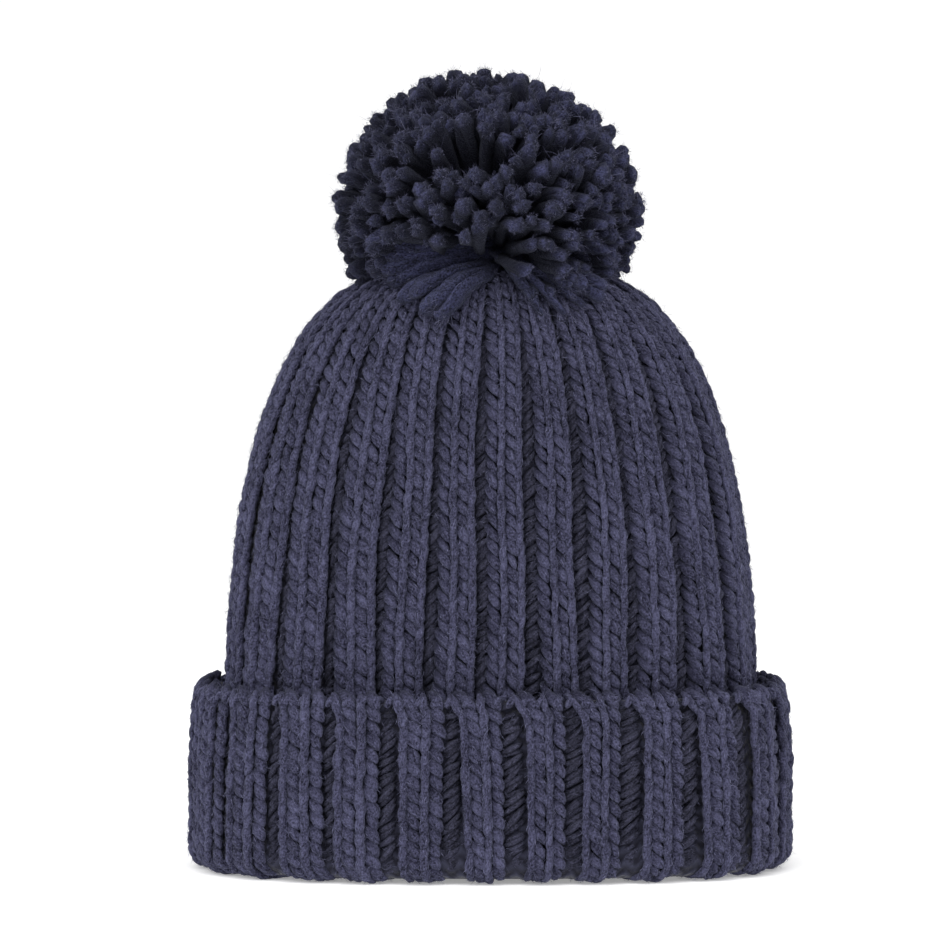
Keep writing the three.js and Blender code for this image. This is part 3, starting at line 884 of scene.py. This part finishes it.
pom = {
    "tie": (0, 0, 243 * mm), "centre": (-1.2 * mm, 0, 258 * mm), "reach": (62 * mm, 61 * mm, 58.5 * mm),
    "tips": 780, "lowest": -29, "wobble": 0.06, "clumps": 260, "gathering": 0.10, "uneven": 4.0 * mm,
    "rings": 10, "sides": 7, "radius": 3.05 * mm, "radiusSpread": 0.13, "waver": 5.5 * mm, "bendAt": 0.7,
    # sideShade and shade below give painted shade on the strands' sides and at their roots
    "tieSpread": 2.0 * mm, "tieFlat": 0.4, "thinner": 0.2, "lumps": 0.2, "sideShade": 0.42,
    "shade": (0.02, 0.7, 1.0), "root": 0.4, "fullAt": 0.8, "shaft": 0.84,
    "endStations": (0.91, 0.965, 1.0), "endSwells": (0.80, 0.34),  # the last rings round off the cut end
    "layerTops": (246 * mm, 264 * mm),  # strands that end below these, between them and above them make three pieces; only the upper one rides with the pom
    "hollows": [  # direction of each parting, and its half width and reach in degrees
        ((-0.38, -0.82, 0.42), 7, 18), ((-0.17, -0.86, 0.46), 9, 19), ((0.03, -0.87, 0.42), 7, 16),
        ((0.24, -0.93, 0.27), 5, 12), ((0.43, -0.87, 0.23), 4, 11), ((-0.25, -0.96, 0.06), 3, 9),
        ((0.5, 0.75, 0.45), 8, 24), ((0.25, 0.85, 0.40), 6, 18), ((-0.7, 0.6, 0.2), 6, 18),
        ((-0.2, 0.9, 0.1), 4, 13), ((0.95, 0.1, 0.3), 5, 15), ((0.9, 0.35, 0.05), 4, 13),
        ((-0.95, -0.1, 0.35), 5, 15), ((0.1, 0.2, 0.97), 5, 16),
    ],
    "parted": {"x": (-44 * mm, 14 * mm), "below": 247 * mm, "front": -14 * mm},
}


def pomTips():  # where the cut ends lie: even over the ball, then parted at a few hollows
    count = pom["tips"]
    low = math.sin(math.radians(pom["lowest"]))
    height = low + (1 - low) * (np.arange(count) + 0.5) / count
    turn = np.arange(count) * math.pi * (3 - math.sqrt(5))
    flatWay = np.sqrt(1 - height ** 2)
    way = np.stack([flatWay * np.cos(turn), flatWay * np.sin(turn), height], axis=1)
    way += chance.normal(0, pom["wobble"], way.shape)
    way /= np.linalg.norm(way, axis=1, keepdims=True)
    clumps = chance.normal(0, 1, (pom["clumps"], 3))  # strands lean together in small tufts
    clumps /= np.linalg.norm(clumps, axis=1, keepdims=True)
    nearest = clumps[np.argmax(way @ clumps.T, axis=1)]
    way += (nearest - way) * pom["gathering"]
    way /= np.linalg.norm(way, axis=1, keepdims=True)
    for direction, halfWide, reach in pom["hollows"]:
        middle = np.array(direction) / np.linalg.norm(direction)
        cosine = np.clip(way @ middle, -1, 1)
        apart = np.degrees(np.arccos(cosine))
        wanted = np.where(apart < reach, halfWide + apart * (1 - halfWide / reach), apart)
        sideways = way - cosine[:, None] * middle
        sideways /= np.linalg.norm(sideways, axis=1, keepdims=True) + 1e-9
        turned = np.radians(wanted)[:, None]
        way = middle * np.cos(turned) + sideways * np.sin(turned)
    return way


def strandPaths(starts, controls, tips, radius, root=pom["root"]):  # curved strands, swollen at the cut end
    rings = pom["rings"]
    t = np.zeros(rings)
    t[-3:] = pom["endStations"]
    t[:-3] = np.linspace(0, pom["shaft"], rings - 3)
    s = t[None, :, None]
    paths = starts[:, None] * (1 - s) ** 2 + 2 * controls[:, None] * s * (1 - s) + tips[:, None] * s ** 2
    swell = root + (1 - root) * np.clip(t / pom["fullAt"], 0, 1)
    swell[-2:] = pom["endSwells"]
    return paths, radius[:, None] * swell[None]


def strandShade(lowest, start, end):  # painted shade: strands are darker at their roots, far inside the pom
    t = np.clip((np.linspace(0, 1, pom["rings"]) - start) / (end - start), 0, 1)
    return (lowest + (1 - lowest) * t * t * (3 - 2 * t))[None]


def pomBall():
    way = pomTips()
    centre, tie = np.array(pom["centre"]), np.array(pom["tie"])
    shorter = np.abs(chance.normal(0, pom["uneven"], len(way)))
    tips = centre + way * (np.array(pom["reach"])[None] - shorter[:, None])
    parted = pom["parted"]
    gone = ((tips[:, 0] > parted["x"][0]) & (tips[:, 0] < parted["x"][1]) & (tips[:, 2] < parted["below"])
            & (tips[:, 1] < parted["front"]))
    way, tips = way[~gone], tips[~gone]
    count = len(way)
    radius = pom["radius"] * (1 + chance.normal(0, pom["radiusSpread"], count))
    lowRight = np.clip(way[:, 0] * 1.5, 0, 1) * np.clip(0.25 - way[:, 2], 0, 0.4) / 0.4
    radius *= 1 - pom["thinner"] * lowRight
    starts = tie + chance.normal(0, pom["tieSpread"], (count, 3)) * np.array([1, 1, pom["tieFlat"]])
    controls = centre + (tips - centre) * pom["bendAt"] + chance.normal(0, pom["waver"], (count, 3))
    paths, radii = strandPaths(starts, controls, tips, radius)
    # each strand is painted lighter on the side it faces and painted shade on the other side
    facing = np.broadcast_to(np.cross(way, [0.3, 0.2, 1.0])[:, None], paths.shape)
    layers = np.digitize(tips[:, 2], pom["layerTops"])
    look = {key: pom[key] for key in ("sides", "lumps", "sideShade")}
    look.update(material=yarns["pomYarn"], deep=strandShade(*pom["shade"]))
    pieces = []
    for i, name in enumerate(("pomLowestStrands", "pomLowerStrands", "pomUpperStrands")):
        here = layers == i
        pieces.append(layYarns(name, paths[here], radii[here], facing[here], **look))
    return pieces


def surfaceUnder(x, y):  # height of the crown below a point near its top
    shares = np.linspace(skirt["innermost"], 1, 300)
    widths = shares * halfWidth
    power = ovalPower(widths)
    inside = (np.abs(x)[:, None] / widths) ** power + (np.abs(y)[:, None] / ovalDepth(widths)) ** power
    first = np.argmax(inside < 1, axis=1)
    reach = np.where(inside.min(1) < 1, shares[first], 1)
    return crownHeight(reach)


skirt = {
    "ring": 84, "radius": 3.4 * mm, "innermost": 0.09, "reach": (40 * mm, 52 * mm), "clear": 3.5 * mm,
    "lowest": 230 * mm, "spread": 6 * mm, "bendHeight": 246 * mm, "bendShare": 0.55, "turnSpread": 0.25,
    "fanEnds": [  # where the long strands at the front left end: across, and height above the resting plane
        (-49, 248), (-46, 242), (-44, 236), (-40, 231), (-35, 225), (-28, 219), (-21, 217),
    ],
    "fanLayers": [(0, 2.6), (3, 5.6)],  # how far to the right of those ends, and how far off the crown
    "fanFront": -30 * mm, "layerRise": 2.0,
    "crossEnds": [(20, 219), (29, 219), (37, 222), (45, 226)],
    "crossRadius": 1.75 * mm, "crossLift": 1.6 * mm,
    "fanStart": (3, -13), "fanStep": (2, -4), "fanBend": (0.42, 1.06), "taper": (1.06, 0.08),
    "crossStart": (-3, -14, 245), "hangStart": (3, -8, 247),
    "hanging": {  # tufts over the crown at the right
        "count": 28, "from": (9, 240), "to": (49, 221), "upTo": 248, "lift": 5, "layered": 26, "fatter": 1.06,
    },
    "root": 0.8, "lumps": 0.18, "sideShade": 0.34,
    # painted shade at the roots of the front, hanging and ring strands; sideShade darkens their undersides
    "shades": {"front": (0.75, 0.1, 0.6), "hanging": (0.12, 0.45, 0.95), "ring": (0.4, 0.3, 0.9)},
}


def onCrownFront(x, height, lift):  # how far forward the front of the crown is at a place across and a height
    widths = np.linspace(skirt["innermost"], 1, 400) * halfWidth
    width = np.interp(-height, -crownHeight(widths / halfWidth), widths)
    power = ovalPower(width)
    inside = np.clip(1 - (abs(x) / width) ** power, 0, 1)
    return -(ovalDepth(width) * inside ** (1 / power) + lift)


def frontStrands():  # the strands that part at the front: thick ones to the left, thin ones to the right
    groups = []  # start, middle, end and radius of each
    for layer, (aside, forward) in enumerate(skirt["fanLayers"]):
        for x, z in skirt["fanEnds"]:
            x = (x + aside + chance.normal(0, 0.7)) * mm
            z = (z + layer * skirt["layerRise"] + chance.normal(0, 0.6)) * mm
            y = min(onCrownFront(x, min(z, 0.237), forward * mm), skirt["fanFront"])
            root = [(place + step * layer) * mm for place, step in zip(skirt["fanStart"], skirt["fanStep"])]
            start = np.array([*root, (z - 235 * mm) * 0.5 + 242 * mm])
            bendX, bendY = skirt["fanBend"]
            middle = np.array([x * bendX, y * bendY - 2 * mm, z * 0.35 + 0.65 * 247 * mm])
            fat, less = skirt["taper"]
            groups.append((start, middle, np.array([x, y, z]), skirt["radius"] * (fat - less * layer)))
    for x, z in skirt["crossEnds"]:
        x, z = x * mm, z * mm
        y = onCrownFront(x, z, skirt["crossLift"])
        start = np.array(skirt["crossStart"]) * mm
        middle = np.array([x * 0.30, y - 4 * mm, 243 * mm])
        groups.append((start, middle, np.array([x, y, z]), skirt["crossRadius"]))
    hanging = skirt["hanging"]
    (x0, z0), (x1, z1) = hanging["from"], hanging["to"]
    for i in range(hanging["count"]):
        share = ((i * 0.618) % 1) ** 0.8
        layer = i / hanging["count"]
        edge = z0 + (z1 - z0) * share
        x = (x0 + (x1 - x0) * share + chance.normal(0, 1.2)) * mm
        z = (edge + (hanging["upTo"] - edge) * layer + chance.normal(0, 0.8)) * mm
        y = onCrownFront(x, min(z, 0.236), (hanging["lift"] + hanging["layered"] * layer) * mm)
        start = np.array(skirt["hangStart"]) * mm
        middle = np.array([x * 0.62, y * 0.95, z + 8 * mm])
        groups.append((start, middle, np.array([x, y, z]), pom["radius"] * hanging["fatter"]))
    starts, middles, ends, radii = (np.array(part) for part in zip(*groups))
    # painted shade along each strand, darker at its root
    shades = [strandShade(*skirt["shades"]["front"])] * (len(groups) - hanging["count"])
    shades += [strandShade(*skirt["shades"]["hanging"])] * hanging["count"]
    return *strandPaths(starts, middles, ends, radii, skirt["root"]), np.concatenate(shades)


def pomSkirt():
    count = skirt["ring"]
    turn = (np.arange(count) + chance.normal(0, skirt["turnSpread"], count)) / count * 2 * math.pi
    turn = turn[(np.sin(turn) > -0.45) | (np.cos(turn) > 0.8) | (np.cos(turn) < -0.75)]  # none at the front
    reach = chance.uniform(*skirt["reach"], len(turn))
    x, y = np.cos(turn) * reach, np.sin(turn) * reach
    lowest = skirt["lowest"] + chance.uniform(0, skirt["spread"], len(turn))
    tips = np.stack([x, y, np.maximum(surfaceUnder(x, y) + skirt["clear"], lowest)], axis=1)
    starts = np.tile(np.array(pom["tie"]), (len(turn), 1))
    bend = skirt["bendShare"]
    controls = np.stack([x * bend, y * bend, np.full_like(x, skirt["bendHeight"])], axis=1)
    shades = np.repeat(strandShade(*skirt["shades"]["ring"]), len(turn), axis=0)
    ring = *strandPaths(starts, controls, tips, np.full(len(turn), skirt["radius"])), shades
    paths, radii, deep = (np.concatenate(both) for both in zip(ring, frontStrands()))
    # skirt strands face up: flattened that way, and painted shade on their undersides
    facing = np.broadcast_to(np.array([0.1, 0.2, 1.0]), paths.shape)
    return layYarns("pomSkirtStrands", paths, radii, facing, yarns["pomYarn"], deep, pom["sides"],
                    lumps=skirt["lumps"], sideShade=skirt["sideShade"])


lowest, lower, upper = pomBall()
skirtPiece = pomSkirt()
tuftFuzz = {"length": 1.8 * mm, "rise": 0.9, "tipShare": 0.8, "width": 0.65}
sweptFuzz = {"length": 2.8 * mm, "rise": 0.3, "bends": 2, "tipShare": 0.3, "width": 0.75}
longHairs = {"length": 5.0 * mm, "rise": 1.0, "bends": 2, "tipShare": 0.7, "width": 0.6}
upperFuzz = layFibres("pomUpperFuzz", "pomUpperStrands", 28000, **tuftFuzz)
lowerFuzz = layFibres("pomLowerFuzz", "pomLowerStrands", 10000, **tuftFuzz)
lowestFuzz = layFibres("pomLowestFuzz", "pomLowestStrands", 5000, **tuftFuzz)
skirtFuzz = layFibres("pomSkirtFuzz", "pomSkirtStrands", 7000, **sweptFuzz)
strayHairs = layFibres("pomStrayHairs", "pomUpperStrands", 700, **longHairs)
ridden(upper, "pom", "pom_yarn", "pom_yarn_ball")
ridden(upperFuzz, "pom", "pom_yarn")
ridden(strayHairs, "pom", "pom_yarn")
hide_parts("pom_skirt_strands")
for piece in (lower, lowerFuzz):
    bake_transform(piece)
for piece in (lowest, lowestFuzz):
    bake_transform(piece)
for piece in (skirtPiece, skirtFuzz):
    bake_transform(piece)

plainCords = {  # CAD cords and knots that stay as they are
    "pom_tie_yarn": pomCord, "pom_tie_knot": pomCord, "tie_stem_left": pomCord, "tie_stem_right": pomCord,
    "crown_gather_yarn": bindingCord, "back_seam_yarn": bindingCord, "cuff_seam_yarn": bindingCord,
    "anchor_tail_left": bindingCord, "anchor_tail_right": bindingCord, "anchor_knot": bindingCord,
}
for node, material in plainCords.items():
    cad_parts[node].data.materials.clear()
    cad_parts[node].data.materials.append(material)
